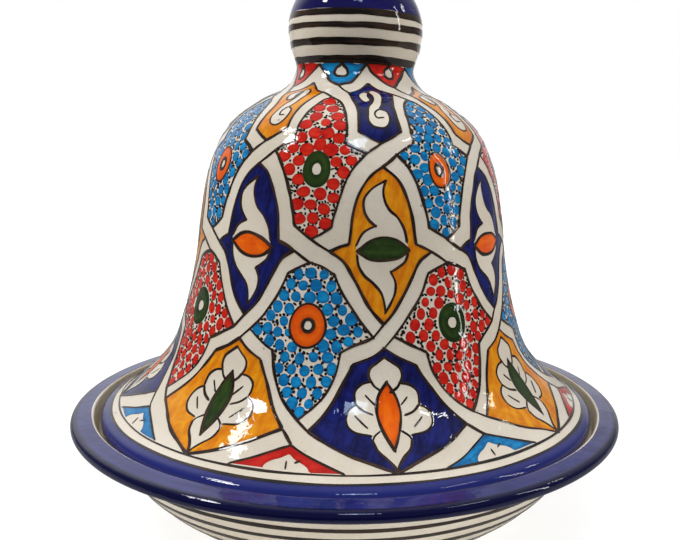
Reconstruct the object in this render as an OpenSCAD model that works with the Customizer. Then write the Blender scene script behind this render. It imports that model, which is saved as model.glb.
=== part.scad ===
// Bell-lidded serving tagine in glazed earthenware: a shallow footed dish with a
// gallery that seats the lid, and a tall waisted lid with a hollow knob thrown in one
// with it. Both are turned on the wheel, so each is one profile swept about +Z.
// The origin is the middle of the foot, on the table.

/* [Dish] */
// Diameter over the rounded rim
dish_d = 302; // [290:1:320]
// Height of the rim above the table
dish_h = 62; // [58:1:70]
// Width of the rim, from the gallery to its outer edge
rim_w = 12; // [10:0.5:16]
// Thickness of the rounded rim
rim_t = 6.6; // [5:0.2:8]
// Thickness of the bowl's floor
floor_t = 7; // [6:0.5:9]

/* [Gallery] */
// Depth of the ledge that the lid stands on, below the rim
ledge_drop = 8; // [6:0.5:10]
// Width of that ledge
ledge_w = 13; // [11:0.5:15]
// Batter of the gallery's wall, over its height
gallery_batter = 2.2; // [1:0.2:3]

/* [Foot] */
// Diameter of the foot ring at the table
foot_d = 152; // [140:1:164]
// Width of the foot ring
foot_w = 10; // [8:0.5:14]
// Height of the recess inside the foot ring
foot_h = 4; // [3:0.5:6]

/* [Lid] */
// Play between the lid's edge and the gallery, all round
lid_play = 1.2; // [0.8:0.2:2]
// Radius of the lid's rounded edge
lid_edge_r = 5; // [4:0.2:6]
// Width of the flat ring that the lid stands on
seat_w = 5; // [3:0.5:6]
// Height from the lid's seat to the top of its neck
bell_h = 187; // [170:1:205]
// Diameter of the bell at its steepest, two fifths of the way up
waist_d = 171; // [160:1:182]
// Thickness of the lid's wall
lid_wall = 6.5; // [5:0.5:8]

/* [Knob] */
// Diameter of the neck under the knob
neck_d = 63; // [56:1:70]
// Diameter of the knob
knob_d = 71.4; // [68:0.2:80]
// Height of the knob above the neck
knob_h = 53; // [48:1:60]

/* [Edges] */
// How far the small rounds on the foot, the ledge and the lid's seat reach
edge_round = 1; // [0.6:0.1:1.4]

/* [Quality] */
// Points in each span of a curve
curve_steps = 6; // [4:1:8]
// Facets around the pot
facets = 160; // [96:8:240]

/* [Hidden] */
$fn = facets;

cream = [0.88, 0.84, 0.76];
cobalt = [0.09, 0.09, 0.38];
round_steps = 4;
arc_steps = 12;

rim_r = dish_d / 2;
gallery_r = rim_r - rim_w;
gallery_lift = 0.9;
gallery_round = 1.2;
seat_z = dish_h - ledge_drop;
ledge_in_r = gallery_r - gallery_batter - ledge_w;
foot_r = foot_d / 2;
foot_batter = 1;

// The lid's rounded edge turns into the bell at this angle above the horizontal
edge_end = 70;
lid_r = gallery_r - gallery_batter * 0.7 - lid_play;
waist_r = waist_d / 2;
neck_r = neck_d / 2;
knob_r = knob_d / 2;
neck_z = seat_z + bell_h;
seat_in_r = lid_r - lid_edge_r - seat_w;

// ---- curves ----------------------------------------------------------------

function arc(centre, r, from, to, steps) =
    [for (k = [0:steps]) centre + r * [cos(from + (to - from) * k / steps),
                                       sin(from + (to - from) * k / steps)]];

// Direction of a curve through points p at point i: the mean of its two chords,
// in which the nearer neighbour counts for more
function heading(p, i, from, to) =
    i == 0 ? from :
    i == len(p) - 1 ? to :
    let (a = norm(p[i] - p[i - 1]), b = norm(p[i + 1] - p[i]))
    ((p[i] - p[i - 1]) / a * b + (p[i + 1] - p[i]) / b * a) / (a + b);

function hermite(p0, p1, m0, m1, t) =
    (2 * t^3 - 3 * t^2 + 1) * p0 + (t^3 - 2 * t^2 + t) * m0
    + (3 * t^2 - 2 * t^3) * p1 + (t^3 - t^2) * m1;

// Smooth curve through every point of p, leaving along from and arriving along to
function curve(p, from, to) = concat(
    [for (i = [0:len(p) - 2], k = [0:curve_steps - 1])
        let (span = norm(p[i + 1] - p[i]))
        hermite(p[i], p[i + 1], span * heading(p, i, from, to),
                span * heading(p, i + 1, from, to), k / curve_steps)],
    [p[len(p) - 1]]);

// Point i of an outline that ends on the axis, moved t towards the inside
function inside(p, i, t) =
    let (last = len(p) - 1,
         before = p[max(i - 1, 0)],
         after = i == last ? [-p[last - 1].x, p[last - 1].y] : p[i + 1],
         along = (after - before) / norm(after - before))
    p[i] + t * [-along.y, along.x];

// Small curve in place of a corner, reaching edge_round back along both its sides
function rounded(before, corner, after) =
    let (a = corner + edge_round * (before - corner) / norm(before - corner),
         b = corner + edge_round * (after - corner) / norm(after - corner))
    [for (k = [0:round_steps]) let (t = k / round_steps)
        (1 - t)^2 * a + 2 * t * (1 - t) * corner + t^2 * b];

// All of an outline but its first point
function rest(p) = [for (i = [1:len(p) - 1]) p[i]];

// ---- dish ------------------------------------------------------------------

// Outside of the bowl, from the top of the foot ring up to the rim
function bowl_outside() =
    let (rise = dish_h - rim_t - foot_h)
    curve([[foot_r + foot_batter, foot_h],
           [foot_r + (gallery_r - foot_r) * 0.36, foot_h + rise * 0.13],
           [foot_r + (gallery_r - foot_r) * 0.60, foot_h + rise * 0.36],
           [foot_r + (gallery_r - foot_r) * 0.78, foot_h + rise * 0.62],
           [foot_r + (gallery_r - foot_r) * 0.93, foot_h + rise * 0.90],
           [rim_r - rim_w * 0.75, dish_h - rim_t - 0.6]],
          [0.98, 0.20], [0.97, 0.24]);

// Inside of the bowl, from the ledge down to the middle of the floor
function bowl_inside() =
    let (floor_z = foot_h + floor_t, depth = seat_z - floor_z)
    curve([[ledge_in_r, seat_z],
           [ledge_in_r * 0.955, seat_z - depth * 0.37],
           [ledge_in_r * 0.87, seat_z - depth * 0.64],
           [ledge_in_r * 0.72, seat_z - depth * 0.84],
           [ledge_in_r * 0.45, seat_z - depth * 0.96],
           [0, floor_z]],
          [-0.1, -1], [-1, 0]);

// The rim's outer edge is a half round, which starts under it where the bowl ends
function rim_outside() =
    arc([rim_r - rim_t / 2, dish_h - rim_t / 2], rim_t / 2, -75, 90, arc_steps);

// Low lip that the rim rises to, at the top of the gallery's wall
function gallery_lip() =
    arc([gallery_r + gallery_round, dish_h + gallery_lift - gallery_round],
        gallery_round, 80, 180, round_steps);

function dish_profile() =
    let (bowl = bowl_outside(), well = bowl_inside(), lip = gallery_lip(),
         recess = [foot_r - foot_w - foot_batter, foot_h],
         foot_in = [foot_r - foot_w, 0], foot_out = [foot_r, 0],
         ledge_root = [gallery_r - gallery_batter, seat_z])
    concat([[0, foot_h]],
           rounded([0, foot_h], recess, foot_in),
           rounded(recess, foot_in, foot_out),
           rounded(foot_in, foot_out, bowl[0]),
           rounded(foot_out, bowl[0], bowl[1]), rest(bowl),
           rim_outside(), lip,
           rounded(lip[len(lip) - 1], ledge_root, well[0]),
           rounded(ledge_root, well[0], well[1]), rest(well));

module dish() {
    color(cobalt)
    rotate_extrude()
    polygon(dish_profile());
}

// ---- lid -------------------------------------------------------------------

function lid_edge() =
    arc([lid_r - lid_edge_r, seat_z + lid_edge_r], lid_edge_r, -90, edge_end, arc_steps);

// Outside of the bell: a flared skirt, a steep waist and a round shoulder
function bell_outside() =
    let (start = lid_edge()[arc_steps], skirt = start.x - waist_r)
    [start,
     [waist_r + skirt * 0.595, seat_z + bell_h * 0.127],
     [waist_r + skirt * 0.315, seat_z + bell_h * 0.206],
     [waist_r + skirt * 0.125, seat_z + bell_h * 0.330],
     [waist_r, seat_z + bell_h * 0.468],
     [waist_r * 0.958, seat_z + bell_h * 0.615],
     [waist_r * 0.893, seat_z + bell_h * 0.750],
     [waist_r * 0.772, seat_z + bell_h * 0.856],
     [waist_r * 0.585, seat_z + bell_h * 0.922],
     [neck_r + (waist_r - neck_r) * 0.07, seat_z + bell_h * 0.968],
     [neck_r, neck_z + 1]];

// Outside of the knob: a round ball, a little flattened, closed at the top
function knob_outside() =
    [[neck_r + (knob_r - neck_r) * 0.70, neck_z + knob_h * 0.24],
     [knob_r, neck_z + knob_h * 0.46],
     [knob_r * 0.90, neck_z + knob_h * 0.70],
     [knob_r * 0.60, neck_z + knob_h * 0.91],
     [0, neck_z + knob_h]];

function lid_outside() =
    curve(concat(bell_outside(), knob_outside()), [-sin(edge_end), cos(edge_end)], [-1, 0]);

// Inside of the wall, from the hollow of the knob down to the lid's seat
function lid_inside() =
    let (p = lid_outside())
    [for (i = [len(p) - 1:-1:0])
        let (q = inside(p, i, lid_wall))
        if (q.x < seat_in_r - edge_round - 0.4) q];

function lid_profile() =
    let (hollow = lid_inside(), edge = lid_edge())
    concat(rounded(hollow[len(hollow) - 1], [seat_in_r, seat_z], edge[0]),
           edge, rest(lid_outside()), hollow);

module lid() {
    color(cream)
    rotate_extrude()
    polygon(lid_profile());
}

dish();
lid();
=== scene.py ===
"""Bell-lidded serving tagine: glazed shells under hand-painted strapwork.

Lengths are in millimetres and angles in degrees until a mesh is written, in metres.
Angle 0 faces -Y, where the camera stands, and grows towards +X. A place on a painted
surface is (angle, run), where run is the distance along the surface's profile.
"""

import math
import random
from random import uniform

import bpy
import numpy as np
from mathutils import Matrix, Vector
from mathutils.geometry import delaunay_2d_cdt
from numpy.linalg import norm


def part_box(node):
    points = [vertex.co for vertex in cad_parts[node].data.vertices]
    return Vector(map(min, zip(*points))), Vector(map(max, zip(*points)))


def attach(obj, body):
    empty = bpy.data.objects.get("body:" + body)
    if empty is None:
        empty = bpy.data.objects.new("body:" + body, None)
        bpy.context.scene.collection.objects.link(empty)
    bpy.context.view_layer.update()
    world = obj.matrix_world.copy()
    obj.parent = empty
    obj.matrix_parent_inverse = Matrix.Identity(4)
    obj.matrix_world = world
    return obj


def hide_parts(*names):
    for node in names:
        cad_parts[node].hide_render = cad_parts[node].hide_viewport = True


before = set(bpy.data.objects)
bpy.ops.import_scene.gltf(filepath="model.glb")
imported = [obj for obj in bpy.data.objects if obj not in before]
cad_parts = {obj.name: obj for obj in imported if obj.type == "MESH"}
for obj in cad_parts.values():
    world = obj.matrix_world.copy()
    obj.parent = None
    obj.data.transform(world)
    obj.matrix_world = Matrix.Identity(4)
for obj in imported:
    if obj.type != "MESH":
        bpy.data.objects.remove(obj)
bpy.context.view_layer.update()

MM = 0.001
random.seed(11)

# ---- sizes, as the frame holds them ----

_, dish_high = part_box("dish")
lid_low, lid_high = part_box("lid")

RIM_R = round(dish_high.x / MM, 1)
GALLERY_LIFT = 0.9
DISH_H = round(dish_high.z / MM, 1) - GALLERY_LIFT
SEAT_Z = round(lid_low.z / MM, 1)
TOP_Z = round(lid_high.z / MM, 1)
RIM_W = 12
RIM_T = 6.6
FLOOR_T = 7
LEDGE_W = 13
GALLERY_BATTER = 2.2
GALLERY_ROUND = 1.2
FOOT_R = 76
FOOT_W = 10
FOOT_H = 4
FOOT_BATTER = 1
LID_PLAY = 1.2
LID_EDGE_R = 5
LID_EDGE_END = 70
SEAT_W = 5
WAIST_R = 85.5
LID_WALL = 6.5
NECK_R = 31.5
KNOB_R = 35.7
KNOB_H = 53

GALLERY_R = RIM_R - RIM_W
LEDGE_IN_R = GALLERY_R - GALLERY_BATTER - LEDGE_W
LID_R = GALLERY_R - GALLERY_BATTER * 0.7 - LID_PLAY
NECK_Z = TOP_Z - KNOB_H
BELL_H = NECK_Z - SEAT_Z

# The body under the paint stands this far inside the CAD solid, and each coat of
# paint rises from it without leaving the solid
BODY = -0.20
WASH = -0.13
RESERVE = -0.09
TOUCH = -0.06
STROKE = -0.02

FACETS = 360

# ---- curves ----


def circle(angles):
    """The points of a unit circle at some angles in radians."""
    return np.stack([np.cos(angles), np.sin(angles)], 1)


def arc(centre, radius, start, end, steps):
    return centre + radius * circle(np.radians(np.linspace(start, end, steps + 1)))


def curve(points, start, end, steps=12):
    """A smooth curve through every point, leaving along start and arriving along end."""
    p = np.array(points, float)
    gaps = norm(np.diff(p, axis=0), axis=1)
    chords = np.diff(p, axis=0) / gaps[:, None]
    inner = ((chords[:-1] * gaps[1:, None] + chords[1:] * gaps[:-1, None])
             / (gaps[1:] + gaps[:-1])[:, None])
    headings = np.vstack([start, inner, end])
    t = (np.arange(steps) / steps)[:, None]
    spans = [(2 * t**3 - 3 * t**2 + 1) * p[i]
             + (t**3 - 2 * t**2 + t) * headings[i] * gaps[i]
             + (3 * t**2 - 2 * t**3) * p[i + 1]
             + (t**3 - t**2) * headings[i + 1] * gaps[i]
             for i in range(len(gaps))]
    return np.vstack(spans + [p[-1:]])


def run_of(points, scale=1):
    """How far along a line each of its points lies, with its steps multiplied by scale."""
    return np.concatenate([[0], np.cumsum(norm(np.diff(points, axis=0) * scale, axis=1))])


def even(points, step):
    """The same line with points every step or a little less, keeping its ends."""
    points = np.asarray(points, float)
    lengths = run_of(points)
    count = max(2, math.ceil(lengths[-1] / step) + 1)
    at = np.linspace(0, lengths[-1], count)
    return np.stack([np.interp(at, lengths, points[:, k]) for k in range(points.shape[1])], 1)


def beside(points, closed=False):
    """For each point of a line, the one after it and the one before it."""
    if closed:
        return np.roll(points, -1, 0), np.roll(points, 1, 0)
    return np.vstack([points[1:], points[-1:]]), np.vstack([points[:1], points[:-1]])


def normals_of(points, on_axis=False):
    """Unit outward normals of a profile that runs up the outside.

    At an end on the axis, the profile goes on as its own mirror image.
    """
    ahead, behind = beside(points)
    if on_axis:
        ahead[-1], behind[0] = points[-2] * [-1, 1], points[1] * [-1, 1]
    along = ahead - behind
    along /= norm(along, axis=1)[:, None]
    return np.stack([along[:, 1], -along[:, 0]], 1)


# ---- profiles: the same curves as the CAD solids ----


def lid_outline():
    """Outside of the lid, from the flat it stands on, round the edge, to the top."""
    centre = [LID_R - LID_EDGE_R, SEAT_Z + LID_EDGE_R]
    edge = arc(centre, LID_EDGE_R, -90, LID_EDGE_END, 16)
    end = math.radians(LID_EDGE_END)
    skirt = edge[-1][0] - WAIST_R
    # Shares of the skirt's or the waist's breadth, and of the bell's or the knob's height
    flare = [(0.595, 0.127), (0.315, 0.206), (0.125, 0.330), (0, 0.468)]
    shoulder = [(0.958, 0.615), (0.893, 0.750), (0.772, 0.856), (0.585, 0.922)]
    ball = [(1, 0.46), (0.90, 0.70), (0.60, 0.91), (0, 1)]
    bell = [[WAIST_R + skirt * out, SEAT_Z + BELL_H * up] for out, up in flare]
    bell += [[WAIST_R * out, SEAT_Z + BELL_H * up] for out, up in shoulder]
    bell += [[NECK_R + (WAIST_R - NECK_R) * 0.07, SEAT_Z + BELL_H * 0.968], [NECK_R, NECK_Z + 1]]
    knob = [[NECK_R + (KNOB_R - NECK_R) * 0.70, NECK_Z + KNOB_H * 0.24]]
    knob += [[KNOB_R * out, NECK_Z + KNOB_H * up] for out, up in ball]
    side = curve([edge[-1]] + bell + knob, [-math.sin(end), math.cos(end)], [-1, 0])
    return np.vstack([edge[:-1], side])


def dish_outline():
    """Outside of the dish, from the foot, over the rim and down to the ledge."""
    rise = DISH_H - RIM_T - FOOT_H
    span = GALLERY_R - FOOT_R
    shares = [(0.36, 0.13), (0.60, 0.36), (0.78, 0.62), (0.93, 0.90)]
    bowl = curve([[FOOT_R + FOOT_BATTER, FOOT_H]]
                 + [[FOOT_R + span * out, FOOT_H + rise * up] for out, up in shares]
                 + [[RIM_R - RIM_W * 0.75, DISH_H - RIM_T - 0.6]],
                 [0.98, 0.20], [0.97, 0.24])
    rim = arc([RIM_R - RIM_T / 2, DISH_H - RIM_T / 2], RIM_T / 2, -75, 90, 16)
    lip = arc([GALLERY_R + GALLERY_ROUND, DISH_H + GALLERY_LIFT - GALLERY_ROUND],
              GALLERY_ROUND, 80, 180, 8)
    return np.vstack([bowl, rim, lip, [[GALLERY_R - GALLERY_BATTER, SEAT_Z]]])


def dish_inside():
    """From the ledge's inner edge down to the middle of the floor."""
    floor_z = FOOT_H + FLOOR_T
    depth = SEAT_Z - floor_z
    shares = [(1, 0), (0.955, 0.37), (0.87, 0.64), (0.72, 0.84), (0.45, 0.96), (0, 1)]
    return curve([[LEDGE_IN_R * out, SEAT_Z - depth * down] for out, down in shares],
                 [-0.1, -1], [-1, 0])


def swept(r, z, angles):
    """Points at a radius and a height, at some angles about the axis in radians."""
    return np.stack([r * np.sin(angles), -r * np.cos(angles),
                     np.broadcast_to(z, angles.shape)], 1)


class Surface:
    """A body's painted surface of revolution: places (angle, run) become points and normals."""

    STEP = 0.4

    def __init__(self, body, outline):
        self.body = body
        self.profile = even(outline, self.STEP)
        self.run = run_of(self.profile)
        self.normals = normals_of(self.profile)

    def radius(self, run):
        return np.interp(run, self.run, self.profile[:, 0])

    def run_at(self, z):
        """The run at which the profile first reaches height z."""
        k = int(np.argmax(self.profile[:, 1] >= z))
        return float(np.interp(z, self.profile[k - 1:k + 1, 1], self.run[k - 1:k + 1]))

    def degree(self, run):
        """How many millimetres a degree measures."""
        return self.radius(run) * math.pi / 180

    def place(self, places, lift):
        """Points in metres, and unit normals, for an array of (angle, run)."""
        places = np.asarray(places, float)
        angle, run = np.radians(places[:, 0]), places[:, 1]
        nr = np.interp(run, self.run, self.normals[:, 0])
        nz = np.interp(run, self.run, self.normals[:, 1])
        size = np.hypot(nr, nz)
        nr, nz = nr / size, nz / size
        r = self.radius(run) + nr * lift
        z = np.interp(run, self.run, self.profile[:, 1]) + nz * lift
        return swept(r, z, angle) * MM, swept(nr, nz, angle)


LID = Surface("lid", lid_outline())
DISH = Surface("dish", dish_outline())

# ---- meshes ----


def add_object(name, data):
    obj = bpy.data.objects.new(name, data)
    bpy.context.collection.objects.link(obj)
    return obj


def make_piece(name, points, faces, normals, materials, body, uv=None, zones=None):
    """One mesh that rides on a body, shaded with the surface's own normals."""
    mesh = bpy.data.meshes.new(name)
    mesh.from_pydata([tuple(p) for p in points], [], [tuple(f) for f in faces])
    mesh.polygons.foreach_set("use_smooth", [True] * len(mesh.polygons))
    for material in materials:
        mesh.materials.append(material)
    if zones is not None:
        mesh.polygons.foreach_set("material_index", zones)
    loops = np.empty(len(mesh.loops), int)
    mesh.loops.foreach_get("vertex_index", loops)
    for layer, values in (uv or {}).items():
        mesh.uv_layers.new(name=layer).uv.foreach_set(
            "vector", np.asarray(values, np.float32)[loops].ravel())
    mesh.normals_split_custom_set_from_vertices([tuple(n) for n in normals])
    mesh.update()
    obj = add_object(name, mesh)
    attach(obj, body)


def rounded(before, corner, after, reach):
    """A small curve in place of a corner, reaching so far back along both its sides."""
    before, corner, after = (np.array(p, float) for p in (before, corner, after))
    start = corner + (before - corner) / norm(before - corner) * reach
    end = corner + (after - corner) / norm(after - corner) * reach
    t = np.linspace(0, 1, 6)[:, None]
    return (1 - t) ** 2 * start + 2 * t * (1 - t) * corner + t ** 2 * end


def strip(low, high, count):
    """A ring of faces between two rings of so many vertices, given the first of each."""
    return [(low + i, low + (i + 1) % count, high + (i + 1) % count, high + i)
            for i in range(count)]


def revolve(name, outline, materials, body, zone):
    """A closed shell turned from an outline that starts and ends on the axis.

    Each ring of faces takes the material that zone gives for its middle (r, z).
    """
    flat = normals_of(outline, on_axis=True)
    rings = outline[1:-1]
    angles = np.radians(np.arange(FACETS) * 360 / FACETS)
    points, normals = (np.vstack([[[0, 0, line[0][1]]]]
                                 + [swept(r, z, angles) for r, z in line[1:-1]]
                                 + [[[0, 0, line[-1][1]]]]) for line in (outline, flat))
    faces, zones = [], []
    for k in range(len(rings) - 1):
        faces += strip(1 + k * FACETS, 1 + (k + 1) * FACETS, FACETS)
        zones += [zone(*((rings[k] + rings[k + 1]) / 2))] * FACETS
    last, top = len(points) - 1, 1 + (len(rings) - 1) * FACETS
    for i in range(FACETS):
        j = (i + 1) % FACETS
        faces += [(0, 1 + j, 1 + i), (last, top + i, top + j)]
        zones += [zone(*rings[0]), zone(*rings[-1])]
    make_piece(name, points * MM, faces, normals, materials, body, zones=zones)


# ---- the painter's hand ----

# Each sway: turns about the axis, radians per millimetre of run, size in millimetres
SWAYS = [(5, 0.021, 0.42), (11, -0.047, 0.30), (19, 0.083, 0.20), (31, -0.139, 0.12)]
PHASES = [(uniform(0, 6.3), uniform(0, 6.3)) for _ in SWAYS]


def by_hand(surface, places):
    """The same places drifted by up to about a millimetre, as a freehand drawing drifts."""
    places = np.array(places, float)
    angle, run = np.radians(places[:, 0]), places[:, 1]
    sideways, upwards = np.zeros(len(places)), np.zeros(len(places))
    for (turns, rate, size), (a, b) in zip(SWAYS, PHASES):
        sideways += size * np.sin(angle * turns + run * rate + a)
        upwards += size * np.sin(angle * (turns + 2) - run * rate * 1.3 + b)
    places[:, 0] += sideways / np.maximum(surface.degree(run), 0.3)
    places[:, 1] += upwards
    return places


def noise_along(count, period, size, closed=False):
    """Smooth random values, one for each of so many places along a stroke."""
    knots = max(2, round(count / period) + 1)
    values = [uniform(-size, size) for _ in range(knots)]
    if closed:
        values[-1] = values[0]
    return np.interp(np.arange(count) / (count - (not closed)) * (knots - 1),
                     range(knots), values)


def from_line(points, loop):
    """The vector to each point from the nearest place on a closed line."""
    edge = np.roll(loop, -1, axis=0) - loop
    away = points[:, None, :] - loop[None]
    share = np.clip((away * edge).sum(2) / np.maximum((edge ** 2).sum(1), 1e-9), 0, 1)
    vectors = away - share[..., None] * edge
    nearest = norm(vectors, axis=2).argmin(1)
    return vectors[np.arange(len(points)), nearest]


def distance_to(points, loop):
    """How far each point lies from a closed line."""
    return norm(from_line(points, loop), axis=1)


def is_inside(points, loop):
    """Which points lie inside a closed line."""
    x, y = points[:, 0][:, None], points[:, 1][:, None]
    x0, y0 = loop[:, 0], loop[:, 1]
    x1, y1 = np.roll(x0, -1), np.roll(y0, -1)
    rise = np.where(y1 == y0, 1, y1 - y0)
    crossing = ((y0 > y) != (y1 > y)) & (x < (x1 - x0) * (y - y0) / rise + x0)
    return crossing.sum(1) % 2 == 1


def staggered(loop, step, clear):
    """Points of a staggered grid inside a closed line, at least clear away from it."""
    low, high = loop.min(0), loop.max(0)
    rows = np.arange(low[1] + step / 2, high[1], step * 0.87)
    points = np.array([[x + (k % 2) * step / 2, y] for k, y in enumerate(rows)
                       for x in np.arange(low[0], high[0], step)] or [[low[0], low[1]]])
    return points[is_inside(points, loop) & (distance_to(points, loop) > clear)]


def anticlockwise(points, triangle):
    a, b, c = (points[i] for i in triangle)
    area = (b[0] - a[0]) * (c[1] - a[1]) - (b[1] - a[1]) * (c[0] - a[0])
    return tuple(triangle) if area > 0 else tuple(reversed(triangle))


def rotated(points, angle):
    """Flat points turned anticlockwise, by an angle in radians, about the origin."""
    cos, sin = math.cos(angle), math.sin(angle)
    return points @ np.array([[cos, sin], [-sin, cos]])


class Paint:
    """Every coat of one colour on one surface, gathered into one mesh.

    Each coat is a thin closed pad whose underside is sunk in the body. Its brush map
    runs along the stroke in millimetres. Its coat map holds how far in from the edge a
    point lies, from 0 to 1, and a number that is the coat's own.
    """

    SUNK = BODY - 0.15
    POOL = 2.2
    BAND_STEP = 0.7
    BAND_FACETS = 480
    UNSTEADY = 0.35
    MADE = []

    def __init__(self, name, surface, material, lift):
        self.name, self.surface, self.material, self.lift = name, surface, material, lift
        self.points, self.normals, self.faces = [], [], []
        self.brush, self.coat = [], []
        self.size = 0
        self.MADE.append(self)

    def add(self, places, faces, brush, inset):
        """One pad: the faces are its top, and its border is walled down to its underside."""
        top, normals = self.surface.place(places, self.lift)
        under, _ = self.surface.place(places, self.SUNK)
        base, count = self.size, len(places)
        edges = {(f[k], f[(k + 1) % len(f)]) for f in faces for k in range(len(f))}
        for f in faces:
            self.faces.append(tuple(base + i for i in f))
            self.faces.append(tuple(base + count + i for i in reversed(f)))
        for a, b in edges:
            if (b, a) not in edges:
                self.faces.append((base + b, base + a, base + count + a, base + count + b))
        shift = [uniform(0, 400), uniform(0, 400)]
        coat = np.stack([inset, np.full(count, random.random())], 1)
        self.points += [top, under]
        self.normals += [normals, normals]
        self.brush += [brush + shift] * 2
        self.coat += [coat] * 2
        self.size += 2 * count

    def fill(self, outline, direction=0.0, grid=2.4):
        """A painted area inside an outline of places, brushed along a direction."""
        outline = by_hand(self.surface, outline)
        middle = outline.mean(0)
        scale = [float(self.surface.degree(middle[1])), 1]
        loop = (outline - middle) * scale
        loop = even(np.vstack([loop, loop[:1]]), 1.2)[:-1]
        points = np.vstack([loop, staggered(loop, grid, grid * 0.45)])
        border = [(i, (i + 1) % len(loop)) for i in range(len(loop))]
        points, _, faces, *_ = delaunay_2d_cdt([tuple(p) for p in points], border, [], 1, 1e-5)
        points = np.array([tuple(p) for p in points])
        faces = [anticlockwise(points, f) for f in faces]
        brush = rotated(points, -math.radians(direction))
        inset = np.clip(distance_to(points, loop) / self.POOL, 0, 1)
        self.add(points / scale + middle, faces, brush, inset)

    def stroke(self, path, width, closed=False, ragged=0.16):
        """One line of a brush along a path of places, uneven in width."""
        path = by_hand(self.surface, path)
        count = len(path)
        ahead, behind = beside(path, closed)
        scale = np.stack([self.surface.degree(path[:, 1]), np.ones(count)], 1)
        along = (ahead - behind) * scale
        along /= norm(along, axis=1)[:, None]
        across = np.stack([-along[:, 1], along[:, 0]], 1) / scale
        far = run_of(path, scale[1:])
        half = np.broadcast_to(width, count) / 2 * (1 + noise_along(count, 5, ragged, closed))
        if not closed:
            tip = np.clip(np.minimum(far, far[-1] - far) / half, 0, 1)
            half = half * (0.3 + 0.7 * np.sqrt(1 - (1 - tip) ** 2))
        sides = [half, half * 0, -half]
        places = np.vstack([path + across * side[:, None] for side in sides])
        faces = [(k * count + i, (k + 1) * count + i, (k + 1) * count + j, k * count + j)
                 for k in range(2) for i in range(count - (not closed))
                 for j in [(i + 1) % count]]
        brush = np.vstack([np.stack([far, side], 1) for side in sides])
        inset = np.concatenate([np.zeros(count), np.ones(count), np.zeros(count)])
        self.add(places, faces, brush, inset)

    def dab(self, centre, size, turn=0.0, sides=14, ragged=0.08):
        """A touch of the brush: a round or oval coat, its sizes in millimetres."""
        scale = [float(self.surface.degree(centre[1])), 1]
        wave = 1 + noise_along(sides, 2.5, ragged, True)
        rim = circle(np.arange(sides) / sides * 2 * math.pi) * size * wave[:, None]
        rim = rotated(rim, turn)
        shares = (0.6, 1) if sides > 8 else (1,)
        flat = np.vstack([[[0, 0]]] + [rim * share for share in shares])
        faces = [(0, 1 + i, 1 + (i + 1) % sides) for i in range(sides)]
        for k in range(len(shares) - 1):
            low, high = 1 + k * sides, 1 + (k + 1) * sides
            faces += [(low + i, high + i, high + (i + 1) % sides, low + (i + 1) % sides)
                      for i in range(sides)]
        inset = np.ones(len(flat))
        inset[-sides:] = 0
        self.add(flat / scale + centre, faces, flat, inset)

    def band(self, start, end):
        """A band laid on while the wheel turns, from one run to another, with unsteady edges."""
        count, length = self.BAND_FACETS, abs(end - start)
        angles = np.arange(count) * 360 / count - 180
        rows = max(2, math.ceil(length / self.BAND_STEP) + 1)
        edges = []
        for _ in range(2):
            waves = [(n, uniform(0, 6.3), self.UNSTEADY / (1 + n * 0.12))
                     for n in (1, 2, 3, 5, 8, 13, 21)]
            edges.append(sum(size * 0.5 * np.sin(np.radians(angles) * n + phase)
                             for n, phase, size in waves))
        shares = np.linspace(0, 1, rows)
        places = np.vstack([np.stack([angles, start + edges[0] * (1 - t) + edges[1] * t
                                      + (end - start) * t], 1) for t in shares])
        faces = [face for k in range(rows - 1)
                 for face in strip(k * count, (k + 1) * count, count)]
        inset = np.clip(np.minimum(shares, 1 - shares) * length / self.POOL, 0, 1)
        brush = places * [float(self.surface.degree((start + end) / 2)), 1]
        self.add(places, faces, brush, np.repeat(inset, count))

    def build(self):
        make_piece(self.name, np.vstack(self.points), self.faces, np.vstack(self.normals),
                   [self.material], self.surface.body,
                   uv={"brush": np.vstack(self.brush), "coat": np.vstack(self.coat)})


# ---- finishes ----


def srgb(red, green, blue):
    """A colour as a shader takes it, from the numbers it shows on a screen."""
    return [((v / 255 + 0.055) / 1.055) ** 2.4 for v in (red, green, blue)] + [1]


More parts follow.
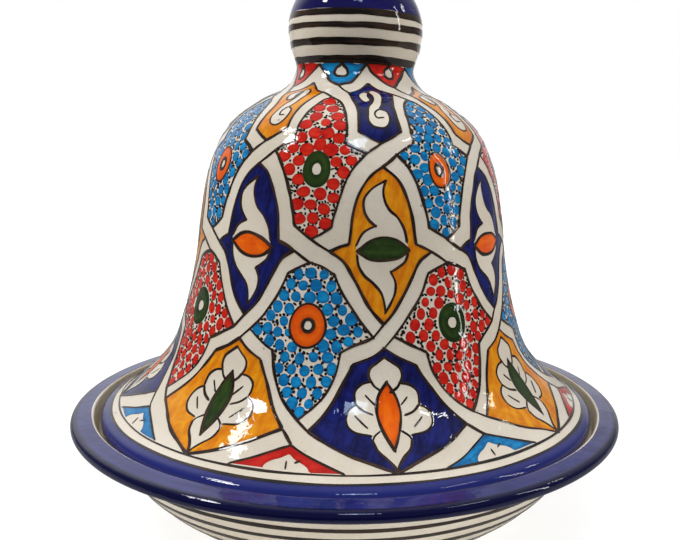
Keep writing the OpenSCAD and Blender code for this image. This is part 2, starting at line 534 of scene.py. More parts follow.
class Nodes:
    """A node tree whose nodes are added one by one, their inputs given by name."""

    def __init__(self, owner):
        owner.use_nodes = True
        self.tree = owner.node_tree

    def node(self, kind, settings=None, **inputs):
        node = self.tree.nodes.new("ShaderNode" + kind)
        for key, value in (settings or {}).items():
            setattr(node, key, value)
        return self.plug(node, **inputs)

    def plug(self, node, **inputs):
        """Gives a node its inputs, each by its name, or by its number as in _0."""
        for key, value in inputs.items():
            socket = node.inputs[int(key[1:]) if key[0] == "_" else key.replace("_", " ")]
            if isinstance(value, bpy.types.NodeSocket):
                self.tree.links.new(value, socket)
            else:
                socket.default_value = value
        return node

    def where(self):
        """Where a point lies on the object, in metres."""
        return self.node("TexCoord").outputs["Object"]

    def length(self, vector):
        return self.node("VectorMath", {"operation": "LENGTH"}, Vector=vector).outputs["Value"]

    def scaled(self, vector, x, y, z):
        return self.node("Mapping", Vector=vector, Scale=(x, y, z)).outputs[0]

    def split(self, vector):
        return self.node("SeparateXYZ", Vector=vector).outputs

    def cells(self, vector, scale):
        """How far a point lies from the nearest of many scattered ones."""
        return self.node("TexVoronoi", Vector=vector, Scale=scale).outputs["Distance"]

    def noise(self, vector, scale, detail=3.0, rough=0.55, warp=0.0):
        return self.node("TexNoise", Vector=vector, Scale=scale, Detail=detail,
                         Roughness=rough, Distortion=warp).outputs["Fac"]

    def spread(self, value, low, high, to_low=0.0, to_high=1.0):
        """The value stretched from one range to another, and held at its ends."""
        return self.node("MapRange", {"interpolation_type": "SMOOTHSTEP"}, Value=value,
                         From_Min=low, From_Max=high, To_Min=to_low,
                         To_Max=to_high).outputs["Result"]

    def blend(self, share, a, b):
        """Two colours mixed. Each is a socket, or the numbers that it shows on a screen."""
        a, b = (srgb(*c) if isinstance(c, tuple) else c for c in (a, b))
        return self.node("Mix", {"data_type": "RGBA"}, _0=share, _6=a, _7=b).outputs[2]

    def maths(self, kind, a, b):
        return self.node("Math", {"operation": kind}, _0=a, _1=b).outputs[0]

    def times(self, value, factor):
        return self.maths("MULTIPLY", value, factor)

    def total(self, first, *others):
        for value in others:
            first = self.maths("ADD", first, value)
        return first


class Finish(Nodes):
    """The nodes of a new material, around its own shader."""

    def __init__(self, name):
        self.material = bpy.data.materials.new(name)
        super().__init__(self.material)
        self.shader = self.tree.nodes["Principled BSDF"]

    def finish(self, colour, roughness, height, depth):
        """Colour, roughness and a surface that rises and falls by so many metres."""
        bump = self.node("Bump", Height=height, Distance=depth, Strength=1.0).outputs["Normal"]
        self.plug(self.shader, Base_Color=colour, Roughness=roughness, Normal=bump)
        return self.material

    def streaked(self, streak, patches, deep, pale):
        """Paint that is deep or pale, by its streaks and its patches together."""
        mix = self.total(self.times(streak, 0.55), self.times(patches, 0.45))
        return self.blend(self.spread(mix, 0.38, 0.64), deep, pale)


def glaze(f, colour, relief=0.0):
    """Ends a material as colour under a clear, uneven glaze, which swells by relief."""
    where = f.where()
    swell = f.times(f.noise(where, 38, 1.0, 0.4), 16.0)
    ripple = f.times(f.noise(where, 120, 2.0, 0.5, 0.8), 7.0)
    peel = f.times(f.noise(where, 460, 2.0, 0.5), 1.3)
    pits = f.spread(f.cells(where, 150.0), 0.0, 0.06, -1.0, 0.0)
    haze = f.spread(f.noise(where, 60, 4.0), 0.35, 0.75, 0.012, 0.04)
    return f.finish(colour, haze, f.total(swell, ripple, peel, pits, relief), 0.000022)


def ground_glaze():
    """The white tin glaze that everything is painted on."""
    f = Finish("ground_glaze")
    where = f.where()
    cloud = f.spread(f.noise(where, 16, 5.0, 0.6), 0.3, 0.7)
    colour = f.blend(cloud, (215, 203, 184), (229, 219, 203))
    thin = f.spread(f.noise(where, 90, 4.0, 0.6), 0.58, 0.8, 0.0, 0.35)
    colour = f.blend(thin, colour, (205, 193, 168))
    grain = f.spread(f.noise(where, 1300, 2.0, 0.7), 0.4, 0.7, 0.0, 0.16)
    colour = f.blend(grain, colour, (176, 160, 136))
    rare = f.spread(f.noise(where, 260, 1.0), 0.56, 0.62)
    specks = f.times(f.spread(f.cells(where, 95.0), 0.05, 0.11, 0.65, 0.0), rare)
    return glaze(f, f.blend(specks, colour, (105, 82, 58)))


def brushed(name, deep, pale, pool, streaks=(0.05, 0.26), own=0.25, edge=0.55, relief=2.0):
    """Paint under the glaze: streaks along the brush, and a darker pool at each edge.

    By up to own, each coat is deeper than the next.
    """
    f = Finish(name)
    brush = f.node("UVMap", {"uv_map": "brush"}).outputs[0]
    inset, own_share, _ = f.split(f.node("UVMap", {"uv_map": "coat"}).outputs[0])
    streak = f.noise(f.scaled(brush, *streaks, 1), 1.0, 5.0, 0.6, 0.5)
    colour = f.streaked(streak, f.noise(brush, 0.13, 5.0, 0.6, 0.8), deep, pale)
    colour = f.blend(f.spread(inset, 0.0, 1.0, edge, 0.0), colour, pool)
    colour = f.blend(f.spread(own_share, 0.0, 1.0, 0.0, own), colour, deep)
    return glaze(f, colour, f.spread(inset, 0.0, 1.0, 0.0, relief))


def turned(name, deep, pale, rim, rim_from=1.0, rim_to=2.0):
    """Paint laid on at the wheel: streaks round the pot, and another tone at the rim.

    The tone changes as the radius, less 0.6 of the height, goes from rim_from metres to
    rim_to. By default that is far outside the pot. On the dish's rim that tone is painted
    shade.
    """
    f = Finish(name)
    where = f.where()
    radius = f.length(f.scaled(where, 1, 1, 0))
    out = f.node("CombineXYZ", Z=f.times(radius, 420.0)).outputs[0]
    along = f.node("VectorMath", {"operation": "ADD"}, _0=f.scaled(where, 20, 20, 420), _1=out)
    streak = f.noise(along.outputs[0], 1.0, 5.0, 0.6, 0.5)
    colour = f.streaked(streak, f.noise(where, 45, 3.0), deep, pale)
    grain = f.spread(f.noise(where, 1100, 2.0, 0.7), 0.45, 0.7, 0.0, 0.3)
    colour = f.blend(grain, colour, deep)
    cone = f.maths("SUBTRACT", radius, f.times(f.split(where)["Z"], 0.6))
    colour = f.blend(f.spread(cone, rim_from, rim_to), colour, rim)
    return glaze(f, colour, f.times(streak, 1.4))


def bare_clay():
    """The buff clay of the ledge and the foot, left unglazed so that they don't stick."""
    f = Finish("bare_clay")
    where = f.where()
    cloud = f.spread(f.noise(where, 30, 5.0, 0.6), 0.3, 0.7)
    colour = f.blend(cloud, (202, 186, 148), (220, 206, 172))
    rings = f.noise(f.scaled(where, 14, 14, 900), 1.0, 3.0)
    colour = f.blend(f.spread(rings, 0.4, 0.7, 0.0, 0.5), colour, (180, 160, 122))
    grit = f.spread(f.cells(where, 420.0), 0.08, 0.2, 0.6, 0.0)
    colour = f.blend(grit, colour, (110, 88, 62))
    return f.finish(colour, 0.72, f.total(f.times(rings, 2.0), f.noise(where, 900, 4.0)), 0.00012)


INK = (20, 14, 12)
GROUND = ground_glaze()
CLAY = bare_clay()
COBALT = brushed("cobalt", (6, 8, 58), (26, 36, 122), (4, 5, 36), edge=0.5)
SAFFRON = brushed("saffron", (212, 116, 2), (236, 160, 18), (182, 84, 4))
CYAN = brushed("cyan", (0, 100, 158), (18, 148, 206), (0, 70, 124), (0.1, 0.4), 0.4)
RED = brushed("red", (186, 18, 12), (222, 48, 26), (136, 12, 10), (0.1, 0.4), 0.4)
GREEN = brushed("green", (28, 50, 12), (54, 76, 28), (12, 26, 8))
ORANGE = brushed("orange", (226, 80, 0), (244, 114, 8), (184, 52, 0))
DARK_LINE = brushed("dark_line", INK, (76, 54, 40), (66, 46, 34), (0.05, 1.6), 0.5, 0.35, 1.0)
DARK_FLECK = brushed("dark_fleck", INK, (46, 36, 34), INK, own=0.5, relief=0.6)
COBALT_TURNED = turned("cobalt_turned", (14, 12, 70), (30, 28, 98), (32, 42, 114), 0.05, 0.12)
# cobalt_rim: the rim's top keeps the lighter blues as painted light from above, and its outer
# edge and underside turn near black (3, 4, 52) as painted shade and a painted dark reflection
COBALT_RIM = turned("cobalt_rim", (24, 26, 86), (44, 48, 114), (3, 4, 52), 0.1096, 0.1112)
DARK_TURNED = turned("dark_turned", (14, 11, 10), (62, 46, 36), INK)

# ---- the painted pattern ----

# Eight meridians pass through the middles of the kites, and eight through the lenses
# between them
FOLD = 8
KITE_ANGLE = -9.3
LENS_ANGLE = 13.2
# Millimetres per degree, near enough to bend and space a line of places evenly
PER_DEGREE = 1.6

# Right halves of the outlines, as runs between corners, each from its top: angles from
# the motif's middle, and runs from the outer edge of the lid's seat
PENDANT = [[(22.5, 233.3), (16, 229), (9, 224), (0, 219.8)]]
SHIELD = [[(0, 222.3), (4, 219.3), (7.2, 216.3)],
          [(7.2, 216.3), (11, 214.3), (14.8, 212.5)],
          [(14.8, 212.5), (12, 206.5), (9.5, 200), (8.4, 191), (8.2, 181.5)],
          [(8.2, 181.5), (4, 177.8), (0, 175.3)]]
UPPER_KITE = [[(0, 206.5), (4.2, 203.3), (7.4, 197), (9.2, 188.5), (9.9, 180), (9.6, 175.5)],
              [(9.6, 175.5), (13.5, 172.8), (17, 169.8)],
              [(17, 169.8), (13.5, 164), (10.5, 156.5), (8.4, 148), (6.7, 139.5), (6.3, 135.7)],
              [(6.3, 135.7), (3, 132.5), (0, 130)]]
LENS = [[(0, 163.7), (4.5, 158.5), (7.8, 150.5), (9.8, 141), (10.5, 132), (10.9, 128)],
        [(10.9, 128), (13.8, 126.6), (16.6, 124.5)],
        [(16.6, 124.5), (12.3, 119.8), (9.3, 112), (6.8, 104.5), (3.8, 97.5), (0, 91.2)]]
LOWER_KITE = [[(0, 119), (3.8, 117), (7.6, 114)],
              [(7.6, 114), (10.2, 105), (14.5, 94.5), (19.3, 85.5)],
              [(19.3, 85.5), (14.5, 81.3), (10, 77.5)],
              [(10, 77.5), (8.8, 68), (6.7, 60), (3, 51.5), (0, 45.8)]]
ARCH = [[(0, 80.5), (4.3, 75.8), (8.8, 72.5)],
        [(8.8, 72.5), (11.5, 64), (14.5, 54), (19.2, 41)],
        [(19.2, 41), (14.5, 35.7), (9, 30), (4.5, 26), (0, 21.3)]]
CHEVRON = [[(0, 33.8), (3.2, 30.6), (7.2, 26.6), (12, 21.8)]]
CHEVRON_INSIDE = [(5.0, 21.8), (4.7, 23.4), (3.4, 25.6), (1.9, 26.9), (0, 29.6)]

# White drawings inside the motifs, as runs between their points
UPPER_FLAME = [[(-8.5, 128), (-6.5, 133), (-2.8, 135.8)],
               [(-2.8, 135.8), (-4.8, 139), (-6.2, 143.5), (-6.2, 148), (-4.2, 152.5),
                (0.6, 157)],
               [(0.6, 157), (-0.3, 152.5), (0, 148), (1.4, 143.5), (4.8, 139), (6.8, 134),
                (7.6, 128.5)]]
LOWER_FLAME = [[(7.9, 123.5), (7, 120), (4.8, 117), (2.5, 114.5)],
               [(2.5, 114.5), (3.9, 110), (3.8, 105.5), (2.4, 101), (0.6, 96.8)],
               [(0.6, 96.8), (0.3, 101), (-0.6, 105.5), (-3, 109.5), (-6.3, 113.5),
                (-8, 118.5), (-8.4, 123.5)]]
SCROLL = [[(-1.4, 214), (0.1, 215.8), (2.8, 215.5), (5.6, 212), (5.8, 208), (4.6, 204),
           (3.3, 200), (2.1, 197), (3.3, 196), (4.8, 195), (5.5, 191.5), (4.8, 187),
           (2.8, 184), (-0.2, 183.8), (-2.7, 185.5), (-3.9, 188.5), (-3.7, 194),
           (-2.9, 199), (-0.7, 203), (0.6, 207), (0.2, 211), (-1.4, 214)]]
SCROLL_HEAD = [[(-1.5, 213.4), (-5.2, 213.2), (-8.0, 209.6), (-6.6, 205.2), (-3.6, 203.4),
                (-1.2, 205.4), (-2.3, 209), (-1.5, 213.4)]]
SCROLL_HOOK = [(-1.6, 213.2), (-1.8, 209.5), (-1.1, 206.4), (0.2, 206.3), (0.5, 208.6)]
SCROLL_CURL = [(2.1, 197), (0.3, 195.5), (-0.7, 193), (-0.2, 190.5), (2.8, 190.3)]
# The left side of the palmette: scallops between notches, then the bud under it
PALMETTE = [[(0, 76.5), (-2, 74), (-4.2, 70.5), (-4.4, 67.5), (-3.7, 64.8)],
            [(-3.7, 64.8), (-6.2, 63.8), (-8.2, 60.5), (-8.3, 57), (-8, 54.5)],
            [(-8, 54.5), (-9.7, 52), (-10.5, 48), (-10, 44), (-8.2, 41), (-4.5, 39.5)],
            [(-4.4, 37), (-3.7, 33), (-1.7, 28.5), (-0.4, 24.5), (0, 21.5)]]
PALMETTE_CREASES = [[(-3.7, 65), (-3, 63), (-1.2, 60.5)],
                    [(-8, 54.5), (-6.2, 51.5), (-3.7, 49.5)],
                    [(-2.4, 42), (-4, 39), (-4.4, 37)]]
PALMETTE_VEINS = [[(-5.2, 58.5), (-3.2, 54.5)], [(-8, 48.5), (-5.5, 43.5)]]
UPRIGHT_LEAF = [[(0.3, 65), (2.3, 58), (2.9, 51), (2.2, 43), (0.2, 32.5)],
                [(0.2, 32.5), (-2.0, 43), (-2.7, 51), (-2.0, 58), (0.3, 65)]]
LYING_LEAF = [[(-8.6, 125), (-4.5, 129.2), (0, 130.4), (4.5, 129.2), (8.6, 125)],
              [(8.6, 125), (4.5, 120.8), (0, 119.6), (-4.5, 120.8), (-8.6, 125)]]
TEARDROP = [[(0, 233), (1.2, 231.6), (4.4, 230), (5.2, 228.2), (3.4, 226.3), (0, 225.6)]]

# A ring's run up the lid and its half width and height, in degrees and millimetres. Then,
# for the kites of either kind, how far apart their dots are, a dot's half width and
# height, and the mean half length of a fleck, all in millimetres
UPPER_RING = (162.5, (4.7, 8.8))
UPPER_DOTS = [(6.6, (3.25, 2.85), 0.75), (5.9, (2.6, 2.6), 0.78)]
LOWER_RING = (90, (5.4, 9.9))
LOWER_DOTS = [(6.3, (2.6, 2.8), 0.88), (6.1, (2.5, 2.75), 0.85)]
RING_EYE = (1.7, 2.8)
# How often the dots push one another apart, and how many places are tried for the flecks
PUSHES = 80
TRIES = 4000

# Where one strap passes over another, the edges of the upper one run on
CROSSINGS = [(KITE_ANGLE, [(0, 45.8), (3.3, 41)]), (KITE_ANGLE, [(-3.3, 41), (0, 33.8)]),
             (LENS_ANGLE, [(-3.2, 85.5), (0, 91.2)]), (LENS_ANGLE, [(0, 80.5), (3.2, 85.5)]),
             (KITE_ANGLE, [(0, 130), (5.9, 124.5)]), (KITE_ANGLE, [(-5.9, 124.5), (0, 119)]),
             (LENS_ANGLE, [(-5.5, 169.8), (0, 175.3)]), (LENS_ANGLE, [(0, 163.7), (5.5, 169.8)]),
             (KITE_ANGLE, [(0, 219.8), (7.7, 212.5)]), (KITE_ANGLE, [(-7.7, 212.5), (0, 206.5)])]


def both_sides(runs):
    """The runs, and then their mirror image, in an order in which all follow one another."""
    return runs + [[(-u, s) for u, s in reversed(run)] for run in reversed(runs)]


def trail(run, centre=0.0, step=0.9, overrun=0.0):
    """Places along a smooth line through a few, about a motif's middle."""
    p = np.array(run, float) * [PER_DEGREE, 1]
    first, last = p[1] - p[0], p[-1] - p[-2]
    first, last = first / norm(first), last / norm(last)
    if len(p) > 2:
        p = curve(p, first, last, 8)
    if overrun:
        p = np.vstack([p[0] - first * overrun, p, p[-1] + last * overrun])
    return even(p, step) / [PER_DEGREE, 1] + [centre, 0]


def loop_of(runs, centre):
    """A closed outline of places from runs that follow one another."""
    return np.vstack([trail(run, centre)[:-1] for run in runs])


saffron = Paint("lid_saffron", LID, SAFFRON, WASH)
cobalt = Paint("lid_cobalt", LID, COBALT, WASH)
cyan = Paint("lid_cyan", LID, CYAN, WASH)
red = Paint("lid_red", LID, RED, WASH)
reserve = Paint("lid_reserves", LID, GROUND, RESERVE)
green = Paint("lid_green", LID, GREEN, TOUCH)
orange = Paint("lid_orange", LID, ORANGE, TOUCH)
lines = Paint("lid_lines", LID, DARK_LINE, STROKE)
fine_lines = Paint("lid_fine_lines", LID, DARK_LINE, STROKE)
dabs = Paint("lid_dabs", LID, DARK_FLECK, TOUCH)


def draw(runs, centre, width=1.4, pen=lines):
    """Each run as a stroke of its own, which overruns its corners a little."""
    for run in runs:
        pen.stroke(trail(run, centre, overrun=uniform(0.1, 1.1)),
                   width * uniform(0.75, 1.15), ragged=0.24)


def ring(colour, centre, run, outer, outlined):
    """A painted ring round an eye of bare glaze, both outlined if the colour is pale."""
    oval = circle(np.radians(np.arange(0, 360, 10)))
    outer, eye = np.array(outer), np.array(RING_EYE)
    wide = norm(oval * (outer - eye) * [PER_DEGREE * 0.92, 1], axis=1)
    colour.stroke(oval * (outer + eye) / 2 + [centre, run], wide, closed=True, ragged=0.03)
    if outlined:
        lines.stroke(oval * outer + [centre, run], 1.1, closed=True)
        lines.stroke(oval * eye + [centre, run], 1.7, closed=True)


def packed_spots(outline, oval, spacing, clear):
    """Middles of dots that fill an outline round an oval, all in millimetres.

    They start on a staggered grid, and are then pushed away from one another, from the
    walls and out of the oval.
    """
    centre, size = oval
    spots = staggered(outline, spacing * 0.98, clear * 0.45)
    spots = spots[norm((spots - centre) / (size + clear * 0.4), axis=1) > 1]
    spots += [[uniform(-0.6, 0.6), uniform(-0.6, 0.6)] for _ in spots]
    for _ in range(PUSHES):
        gaps = spots[:, None] - spots[None]
        far = norm(gaps, axis=2)
        np.fill_diagonal(far, np.inf)
        push = (gaps / far[..., None] * np.clip(spacing - far, 0, None)[..., None]).sum(1) * 0.4
        wall = from_line(spots, outline)
        near = norm(wall, axis=1)
        push += wall / near[:, None] * np.clip(clear - near, 0, None)[:, None] * 0.7
        away = (spots - centre) / (size + clear)
        reach = norm(away, axis=1)
        push += away / reach[:, None] * np.clip(1 - reach, 0, None)[:, None] * size.mean()
        trial = spots + push
        spots = np.where(is_inside(trial, outline)[:, None], trial, spots)
    return spots


def dotted_kite(half, centre, dot, eye, ring_at, dots):
    """A kite of bare glaze filled with dots and dark flecks round a ring.

    The dots are packed on the surface unrolled about the kite's middle, in millimetres.
    """
    (eye_at, outer), (spacing, (wide, tall), fleck) = ring_at, dots
    runs = both_sides(half)
    flat = loop_of(runs, 0.0)
    flat[:, 0] *= LID.degree(flat[:, 1])
    oval = (np.array([0, eye_at]), np.array(outer) * [float(LID.degree(eye_at)), 1])
    spots = packed_spots(flat, oval, spacing, spacing * 0.46)

    def place(spot):
        return by_hand(LID, [[centre + spot[0] / LID.degree(spot[1]), spot[1]]])[0]

    sizes = []
    for k, spot in enumerate(spots):
        away = norm(np.delete(spots, k, 0) - spot, axis=1).min()
        sizes.append(min(away / (wide + tall) * 1.05, uniform(0.9, 1.12)))
    low, high = flat.min(0), flat.max(0)
    tried = np.array([[uniform(low[0], high[0]), uniform(low[1], high[1])] for _ in range(TRIES)])
    off_ring = norm((tried - oval[0]) / (oval[1] + 0.9), axis=1) > 1
    tried = tried[off_ring & is_inside(tried, flat)]
    wall = distance_to(tried, flat)
    for spot, margin in zip(tried, wall):
        away = norm(spots - spot, axis=1).min()
        if away > spacing * 0.8 and margin > wide * 0.7:
            spots = np.vstack([spots, spot])
            sizes.append(min(away / (wide + tall) - 0.3, margin / wide, 0.9))
    for spot, share in zip(spots, sizes):
        size = (wide * share * uniform(0.9, 1.1), tall * share * uniform(0.9, 1.1))
        dot.dab(place(spot), size, uniform(-0.4, 0.4), ragged=0.11)
    reach = norm((tried[:, None] - spots[None]) / (wide, tall), axis=2) - sizes
    kept = np.zeros((0, 2))
    for spot in tried[reach.min(1) * wide > fleck * 0.3]:
        if not len(kept) or norm(kept - spot, axis=1).min() > fleck * 1.65:
            kept = np.vstack([kept, spot])
            size = (fleck * uniform(0.7, 1.45), fleck * uniform(0.6, 1.0))
            dabs.dab(place(spot), size, uniform(0, 3), sides=7, ragged=0.25)
    ring(eye, centre, eye_at, outer, eye is orange)
    draw(runs, centre)


def pendant(colour, centre):
    """The half motif that hangs from the neck, with a teardrop left white in it."""
    runs = both_sides(PENDANT)
    colour.fill(loop_of(runs + [[(-22.5, 233.3), (0, 233.9), (22.5, 233.3)]], centre), 10, 1.3)
    drop = both_sides(TEARDROP)
    reserve.fill(loop_of(drop, centre), 0, 1.3)
    draw(drop, centre, 1.8)
    draw(runs, centre)


def shield(colour, centre):
    """A shield with a white scroll."""
    runs = both_sides(SHIELD)
    colour.fill(loop_of(runs, centre), 75, 1.7)
    reserve.fill(loop_of(SCROLL, centre), 0, 1.7)
    reserve.fill(loop_of(SCROLL_HEAD, centre), 0, 1.7)
    draw(SCROLL + SCROLL_HEAD, centre, 1.0, fine_lines)
    draw([SCROLL_HOOK], centre, 1.5)
    draw([SCROLL_CURL], centre, 1.2, fine_lines)
    draw(runs, centre)


def lens(colour, leaf, centre):
    """A pointed lens with two white flames and a leaf lying between them."""
    runs = both_sides(LENS)
    colour.fill(loop_of(runs, centre), 80)
    flames = UPPER_FLAME + [[(7.6, 128.5), (7.9, 126), (7.9, 123.5)]] + LOWER_FLAME
    reserve.fill(loop_of(flames + [[(-8.4, 123.5), (-8.6, 126), (-8.5, 128)]], centre))
    leaf.fill(loop_of(LYING_LEAF, centre), 0)
    draw(UPPER_FLAME + LOWER_FLAME, centre, 1.15, fine_lines)
    draw(LYING_LEAF, centre, 1.5)
    draw(runs, centre)


def arch(colour, leaf, centre):
    """An arch with a white palmette round an upright leaf."""
    runs = both_sides(ARCH)
    colour.fill(loop_of(runs, centre), 75)
    gap = [[(-4.5, 39.5), (-4.6, 38.2), (-4.4, 37)]]
    side = PALMETTE[:3] + gap + PALMETTE[3:]
    reserve.fill(loop_of(both_sides(side), centre))
    leaf.fill(loop_of(UPRIGHT_LEAF, centre), 90)
    for part in (PALMETTE, PALMETTE_CREASES):
        draw(both_sides(part), centre, 1.3, fine_lines)
    draw(both_sides(PALMETTE_VEINS), centre, 1.1, fine_lines)
    draw(UPRIGHT_LEAF, centre, 1.6)
    draw(runs, centre)


def chevron(colour, centre):
    """The chevron that stands on the border, under a kite."""
    half = CHEVRON + [[(12, 21.8), (4.8, 21.8)], CHEVRON_INSIDE]
    colour.fill(loop_of(both_sides(half), centre), 20)
    draw(both_sides(CHEVRON), centre, 1.1)
    draw([[(2.6, 27.0), (1.8, 26.0)], [(-0.2, 25.2), (-0.1, 23)]], centre, 1.0, fine_lines)


def paint_lid():
    """Each eighth of the lid: the motifs down a kite's meridian, and down a lens's.

    The colours change places from each eighth to the next.
    """
    for k in range(FOLD):
        odd, step = k % 2, k * 360 / FOLD
        kite, between = KITE_ANGLE + step, LENS_ANGLE + step
        upper, lower = (cyan, red) if odd else (red, cyan)
        main, other = (saffron, cobalt) if odd else (cobalt, saffron)
        eye, leaf = (orange, green) if odd else (green, orange)
        pendant(lower, kite)
        dotted_kite(UPPER_KITE, kite, upper, eye, UPPER_RING, UPPER_DOTS[odd])
        dotted_kite(LOWER_KITE, kite, lower, leaf, LOWER_RING, LOWER_DOTS[odd])
        chevron(upper, kite)
        shield(main, between)
        lens(other, eye, between)
        arch(main, leaf, between)
        for angle, run in CROSSINGS:
            draw([run], angle + step)


paint_lid()

# Bands laid on at the wheel: the lid's are at these runs, or round the knob at these
# heights, and the dish's are at these heights, up to its rim's inner edge
LID_RINGS = [(15.5, 16.9), (20.5, 21.6), (233.4, 237.2)]
KNOB_RINGS = [(253.1, 256.4), (261.0, 264.0), (267.1, 270.3)]
DISH_STRIPES = [(12.2, 14.2), (19.0, 21.2), (26.5, 29.5), (34.3, 37.0), (41.2, 43.5)]
RIM_END = float(DISH.run[-1]) - 9.8

lid_bands = Paint("lid_blue_bands", LID, COBALT_TURNED, WASH)
lid_bands.band(5.5, 15.9)
lid_bands.band(LID.run_at(270.4), LID.run_at(273.0))
lid_rings = Paint("lid_dark_bands", LID, DARK_TURNED, STROKE)
for low, high in LID_RINGS:
    lid_rings.band(low, high)
for low, high in KNOB_RINGS:
    lid_rings.band(LID.run_at(low), LID.run_at(high))
dish_blue = Paint("dish_blue_rim", DISH, COBALT_RIM, WASH)
dish_blue.band(DISH.run_at(47.6), RIM_END)
dish_stripes = Paint("dish_dark_bands", DISH, DARK_TURNED, TOUCH)
for low, high in DISH_STRIPES:
    dish_stripes.band(DISH.run_at(low), DISH.run_at(high))

for coat in Paint.MADE:
    coat.build()

# ---- the thrown bodies under the paint ----

# The knob is blue above this height
CAP_Z = 272


def sunk(points, keep_below=-1):
    """The outline moved in to where the body's surface lies, but not below a height."""
    moved = points + normals_of(points) * BODY
    moved[:, 1] = np.where(points[:, 1] <= keep_below, points[:, 1], moved[:, 1])
    return moved


def lid_shell():
    """The hollow lid: down inside its wall from the knob, and up the outside."""
    side = np.vstack([LID.profile[:-1:4], LID.profile[-1:]])
    outside = sunk(side, SEAT_Z)
    outside[-1][0] = 0
    seat_in = [LID_R - LID_EDGE_R - SEAT_W, SEAT_Z]
    inner = side - normals_of(side) * LID_WALL
    inner[-1] = [0, TOP_Z - LID_WALL]
    inner = even(inner[inner[:, 0] < seat_in[0] - 2.4][::-1], 4)
    corner = rounded(inner[-1], seat_in, outside[0], 1.0)

    def zone(_, z):
        return 1 if z < SEAT_Z + 1.2 else 2 if z > CAP_Z else 0

    revolve("lid_body", np.vstack([inner, corner, outside]), [GROUND, CLAY, COBALT_TURNED],
            "lid", zone)


def dish_shell():
    """The footed dish: from under its middle, round foot and rim, to its floor."""
    foot_top, foot_in = [FOOT_R - FOOT_W - FOOT_BATTER, FOOT_H], [FOOT_R - FOOT_W, 0]
    foot_out, bowl_start = [FOOT_R, 0], [FOOT_R + FOOT_BATTER, FOOT_H]
    under = even([[0, FOOT_H - BODY], [foot_top[0] - 1, FOOT_H - BODY]], 4)
    side = sunk(DISH.profile[::3])
    root, ledge_in = [GALLERY_R - GALLERY_BATTER, SEAT_Z], [LEDGE_IN_R, SEAT_Z]
    bowl = even(dish_inside(), 1.5)
    outline = np.vstack([
        under, rounded(under[-1], foot_top, foot_in, 1.0),
        rounded(foot_top, foot_in, foot_out, 1.2), rounded(foot_in, foot_out, bowl_start, 1.2),
        rounded(foot_out, bowl_start, side[3], 1.0), side[3:-2],
        rounded(side[-3], root, ledge_in, 0.8), rounded(root, ledge_in, bowl[2], 1.0),
        bowl[2:]])

    def zone(r, z):
        ledge = LEDGE_IN_R - 0.5 < r < GALLERY_R + 0.5 and z > SEAT_Z - 1.5
        return int(z < 3.2 or ledge)

    revolve("dish_body", outline, [GROUND, CLAY], "dish", zone)


lid_shell()
dish_shell()
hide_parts("lid")
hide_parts("dish")

# ---- camera ----

CAMERA_AT = (27.4, -447.5, 208.7)
CAMERA_PITCH = 10.6
CAMERA_ROLL = 1.5
LENS = 42.6
SENSOR = 36
SHIFT = (-0.089, 0.026)


def add_camera():
    """The photograph's view: a little from above, with a slight roll."""
    data = bpy.data.cameras.new("camera")
    data.lens, data.sensor_width = LENS, SENSOR
    data.shift_x, data.shift_y = SHIFT
    data.clip_start, data.clip_end = 0.01, 60
    camera = add_object("camera", data)
    tilt = Matrix.Rotation(math.radians(90 - CAMERA_PITCH), 4, "X")
    roll = Matrix.Rotation(math.radians(CAMERA_ROLL), 4, "Z")
    camera.matrix_world = Matrix.Translation([v * MM for v in CAMERA_AT]) @ tilt @ roll
    bpy.context.scene.camera = camera


# ---- light and floor ----

AIM = (0, 0, 0.15)
ROOM_LIGHT = 0.12
WALL_LIGHT = 0.5
CEILING_LIGHT = 0.5
WHITE, SKY, STRAW = (1, 1, 1), (0.62, 0.78, 1.0), (1.0, 1.0, 0.86)
# Degrees round from the front and up, metres away, size in metres, watts, colour, and
# whether it shows in the glaze: one that doesn't is light from all over that side
LIGHTS = {
    "ceiling": (180, 80, 1.85, (2.4, 2.5), 13, WHITE, False),
    "window_left": (-64, 46, 2.0, (0.26, 0.30), 7.5, WHITE, True),
    "window_far_left": (-79, 52, 2.0, (0.24, 0.26), 4, WHITE, True),
    "window_pane": (3, 53, 2.0, (0.20, 0.30), 1.7, SKY, True),
    "window_next_pane": (10.5, 53, 2.0, (0.24, 0.30), 2.0, SKY, True),
    "tube_right": (68, 51, 2.0, (0.50, 0.024), 1.3, WHITE, True),
    "window_far_right": (102, 33, 2.0, (0.08, 0.26), 0.9, STRAW, True),
    "window_slit": (80, 20, 1.9, (0.06, 1.2), 3, WHITE, True),
    "room_left": (-74, 40, 2.0, (0.9, 0.9), 9, WHITE, False),
    "room_right": (80, 34, 2.0, (0.9, 0.9), 6.8, WHITE, False),
    "room_front": (2, 32, 2.0, (0.9, 0.9), 7.6, WHITE, False)}


def add_light(name, azimuth, elevation, distance, size, power, colour, glint):
    """A rectangular light that faces the pot."""
    data = bpy.data.lights.new(name, "AREA")
    data.shape, data.size, data.size_y = "RECTANGLE", *size
    data.energy, data.color = power, colour
    a, e = math.radians(azimuth), math.radians(elevation)
    away = Matrix.Translation(AIM) @ Matrix.Rotation(a, 4, "Z") @ Matrix.Rotation(-e, 4, "X")
    facing = Matrix.Rotation(math.pi / 2, 4, "X")
    light = add_object(name, data)
    light.matrix_world = away @ Matrix.Translation((0, -distance, 0)) @ facing
    light.visible_glossy = glint


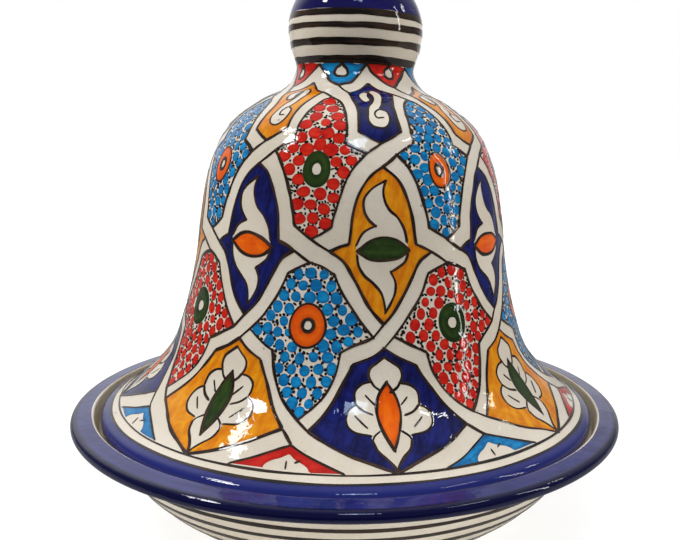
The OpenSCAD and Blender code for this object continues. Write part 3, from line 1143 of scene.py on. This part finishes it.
def add_world():
    """A dim room under a paler ceiling, with a bright wall behind the pot.

    The wall darkens upwards on the right, and the ceiling towards the front.
    """
    world = bpy.data.worlds.new("room")
    bpy.context.scene.world = world
    f = Nodes(world)
    x, y, z = f.split(f.node("TexCoord").outputs["Generated"])
    wall = f.spread(f.maths("SUBTRACT", y, f.times(x, z)), 0.62, 0.92, 0.0, WALL_LIGHT)
    ceiling = f.spread(f.total(z, f.times(y, 0.7)), 0.4, 1.3, 0.0, CEILING_LIGHT)
    level = f.total(wall, ceiling, ROOM_LIGHT)
    room = f.node("Background", Color=(1, 1, 1, 1), Strength=level)
    white = f.node("Background", Color=(1, 1, 1, 1))
    seen = f.node("LightPath").outputs["Is Camera Ray"]
    mix = f.node("MixShader", _0=seen, _1=room.outputs[0], _2=white.outputs[0])
    f.plug(f.tree.nodes["World Output"], Surface=mix.outputs[0])


def add_floor():
    """A plain pale floor, which brightens into the backdrop away from the pot.

    What it throws back at the pot is the light of a pale table, and in front of the table's
    edge that of a dark room. In the glaze it shows darker, as a table of wood.
    """
    reach = 8
    mesh = bpy.data.meshes.new("floor")
    mesh.from_pydata([(x, y, 0) for x, y in ((-reach, -reach), (reach, -reach), (reach, reach),
                                             (-reach, reach))], [], [(0, 1, 2, 3)])
    f = Finish("floor_white")
    where = f.where()
    f.plug(f.shader, Base_Color=(0.3, 0.3, 0.3, 1), Roughness=0.8, Emission_Color=(1, 1, 1, 1),
           Emission_Strength=f.spread(f.length(where), 0.15, 0.6, 0.78, 0.95))
    path = f.node("LightPath")
    shine = f.spread(path.outputs["Is Glossy Ray"], 0.0, 1.0, 1.0, 0.22)
    tone = f.times(f.spread(f.split(where)["Y"], -0.25, -0.19, 0.06, 0.95), shine)
    table = f.node("BsdfPrincipled", Base_Color=tone, Roughness=0.8,
                   Emission_Color=(1, 0.99, 0.92, 1), Emission_Strength=f.times(tone, 0.6))
    mix = f.node("MixShader", _0=path.outputs["Is Camera Ray"], _1=table.outputs[0],
                 _2=f.shader.outputs[0])
    f.plug(f.tree.nodes["Material Output"], Surface=mix.outputs[0])
    mesh.materials.append(f.material)
    floor = add_object("floor", mesh)


add_camera()
add_world()
add_floor()
for name, values in LIGHTS.items():
    add_light(name, *values)
bpy.context.scene.view_settings.view_transform = "Standard"
